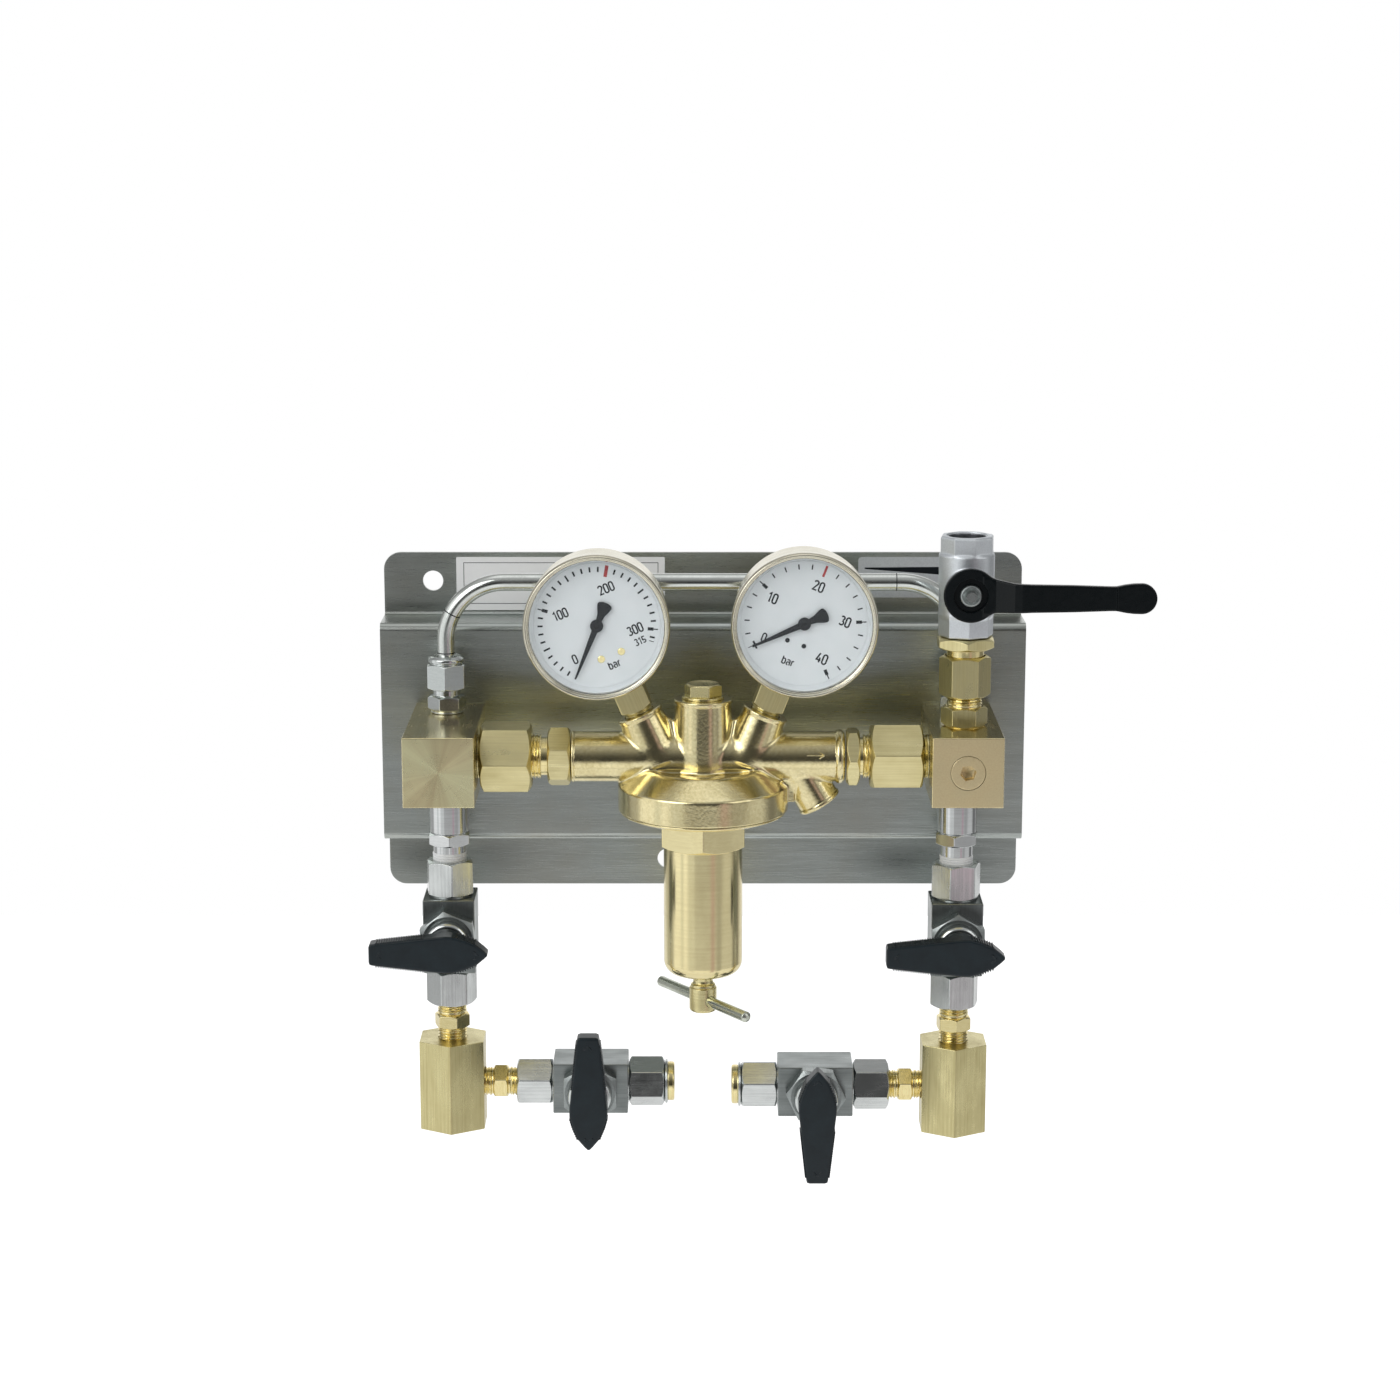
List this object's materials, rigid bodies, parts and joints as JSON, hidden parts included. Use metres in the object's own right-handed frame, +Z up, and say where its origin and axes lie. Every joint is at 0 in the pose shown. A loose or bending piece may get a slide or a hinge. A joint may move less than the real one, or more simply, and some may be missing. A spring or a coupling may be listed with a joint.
{
  "type": "gas pressure regulating station",
  "caption": "Wall-mounted gas pressure regulating station: folded plate, brass manifold blocks, spring-loaded regulator with dial gauges, bypass tube, check valves and ball valves.",
  "frame": {"origin": "on the wall plane, midway between the two upper mounting holes of the plate", "axes": "+X right and +Z up seen from the front, +Y into the wall, so the front faces -Y"},
  "size_m": [0.3506, 0.1135, 0.3008],
  "materials": {
    "stainless": "brushed, fine vertical grain",
    "brass": "machined satin",
    "bright_brass": "bright machined",
    "forged_brass": "polished forging",
    "bright_steel": "polished",
    "satin_steel": "satin blasted",
    "cast_zinc": "matt plated casting",
    "chrome": "bright plated",
    "gauge_case": "satin with a warm tone",
    "dial_white": "matt white",
    "clear": "clear",
    "black_plastic": "fine grain",
    "black_paint": "satin black",
    "spring_steel": "oiled",
    "rubber": "matt"
  },
  "bodies": {
    "station": {"back_plate": "stainless", "manifold_block_left": "brass", "manifold_block_right": "brass", "block_screw_plug": "brass", "bypass_tube": "bright_steel", "tube_fitting_left": "bright_steel", "tube_fitting_right": "bright_steel", "tube_nut_left": "bright_steel", "tube_nut_right": "bright_steel", "inlet_union_nut": "brass", "outlet_union_nut": "brass", "inlet_stud": "brass", "outlet_stud": "brass", "regulator_body": "forged_brass", "regulator_top_plug": "brass", "spring_bonnet": "forged_brass", "main_spring": "spring_steel", "inlet_gauge_case": "gauge_case", "inlet_gauge_window": "clear", "inlet_gauge_dial": "dial_white", "inlet_gauge_stem": "brass", "outlet_gauge_case": "gauge_case", "outlet_gauge_window": "clear", "outlet_gauge_dial": "dial_white", "outlet_gauge_stem": "brass", "outlet_valve_body": "cast_zinc", "outlet_reducer": "brass", "valve_union_nut": "brass", "outlet_nipple": "brass", "check_valve_left": "chrome", "check_valve_right": "chrome", "tee_left": "brass", "tee_right": "brass", "tee_nipple_left": "bright_brass", "tee_nipple_right": "bright_brass", "vent_nipple_left": "bright_brass", "vent_nipple_right": "bright_brass", "inlet_valve_left": "satin_steel", "inlet_valve_right": "satin_steel", "vent_valve_left": "satin_steel", "vent_valve_right": "satin_steel"},
    "outlet_lever": {"outlet_valve_lever": "black_plastic", "outlet_valve_ball": "chrome"},
    "left_inlet_grip": {"inlet_handle_left": "black_plastic", "inlet_ball_left": "bright_steel"},
    "right_inlet_grip": {"inlet_handle_right": "black_plastic", "inlet_ball_right": "bright_steel"},
    "left_vent_grip": {"vent_handle_left": "black_plastic", "vent_ball_left": "bright_steel"},
    "right_vent_grip": {"vent_handle_right": "black_plastic", "vent_ball_right": "bright_steel"},
    "spring_seat": {"spring_button": "satin_steel"},
    "spindle": {"adjusting_spindle": "brass", "tommy_bar": "bright_steel"},
    "diaphragm_group": {"diaphragm": "rubber", "valve_poppet": "bright_brass"},
    "left_check_poppet": {"check_poppet_left": "bright_brass"},
    "right_check_poppet": {"check_poppet_right": "bright_brass"},
    "inlet_pointer": {"inlet_gauge_pointer": "black_paint"},
    "outlet_pointer": {"outlet_gauge_pointer": "black_paint"}
  },
  "joints": [
    {"name": "outlet_lever_turn", "type": "hinge", "parent": "station", "child": "outlet_lever", "pos_m": [0.1177, -0.075, 0.0099], "axis": [0, -1, 0], "range_deg": [0, 90]},
    {"name": "left_inlet_turn", "type": "hinge", "parent": "station", "child": "left_inlet_grip", "pos_m": [-0.1177, -0.0465, -0.1578], "axis": [0, -1, 0], "range_deg": [0, 90]},
    {"name": "right_inlet_turn", "type": "hinge", "parent": "station", "child": "right_inlet_grip", "pos_m": [0.1177, -0.0465, -0.1594], "axis": [0, -1, 0], "range_deg": [0, 90]},
    {"name": "left_vent_turn", "type": "hinge", "parent": "station", "child": "left_vent_grip", "pos_m": [-0.0527, -0.0465, -0.2316], "axis": [0, -1, 0], "range_deg": [0, 90]},
    {"name": "right_vent_turn", "type": "hinge", "parent": "station", "child": "right_vent_grip", "pos_m": [0.0527, -0.0465, -0.2332], "axis": [0, -1, 0], "range_deg": [0, 90]},
    {"name": "spindle_travel", "type": "slide", "parent": "station", "child": "spring_seat", "axis": [0, 0, 1], "range_m": [0, 0.006], "deforming": ["main_spring"]},
    {"name": "spindle_turn", "type": "hinge", "parent": "spring_seat", "child": "spindle", "pos_m": [0, -0.075, -0.18228], "axis": [0, 0, 1], "range_deg": [0, 1441]},
    {"name": "diaphragm_lift", "type": "slide", "parent": "station", "child": "diaphragm_group", "axis": [0, 0, 1], "range_m": [0, 0.001]},
    {"name": "left_check_lift", "type": "slide", "parent": "station", "child": "left_check_poppet", "axis": [0, 0, 1], "range_m": [0, 0.002]},
    {"name": "right_check_lift", "type": "slide", "parent": "station", "child": "right_check_poppet", "axis": [0, 0, 1], "range_m": [0, 0.002]},
    {"name": "inlet_pointer_turn", "type": "hinge", "parent": "station", "child": "inlet_pointer", "pos_m": [-0.04716, -0.0895, -0.00498], "axis": [0, 1, 0], "range_deg": [0, 264.6], "stiffness_Nm_per_rad": 0.0005, "springref_deg": -17.19},
    {"name": "outlet_pointer_turn", "type": "hinge", "parent": "station", "child": "outlet_pointer", "pos_m": [0.04489, -0.0895, -0.00405], "axis": [0, 1, 0], "range_deg": [0, 270], "stiffness_Nm_per_rad": 0.0005, "springref_deg": -17.19}
  ],
  "couplings": [
    {"joint": "spindle_turn", "follows": "spindle_travel", "rad_per_m": 4188.8}
  ]
}
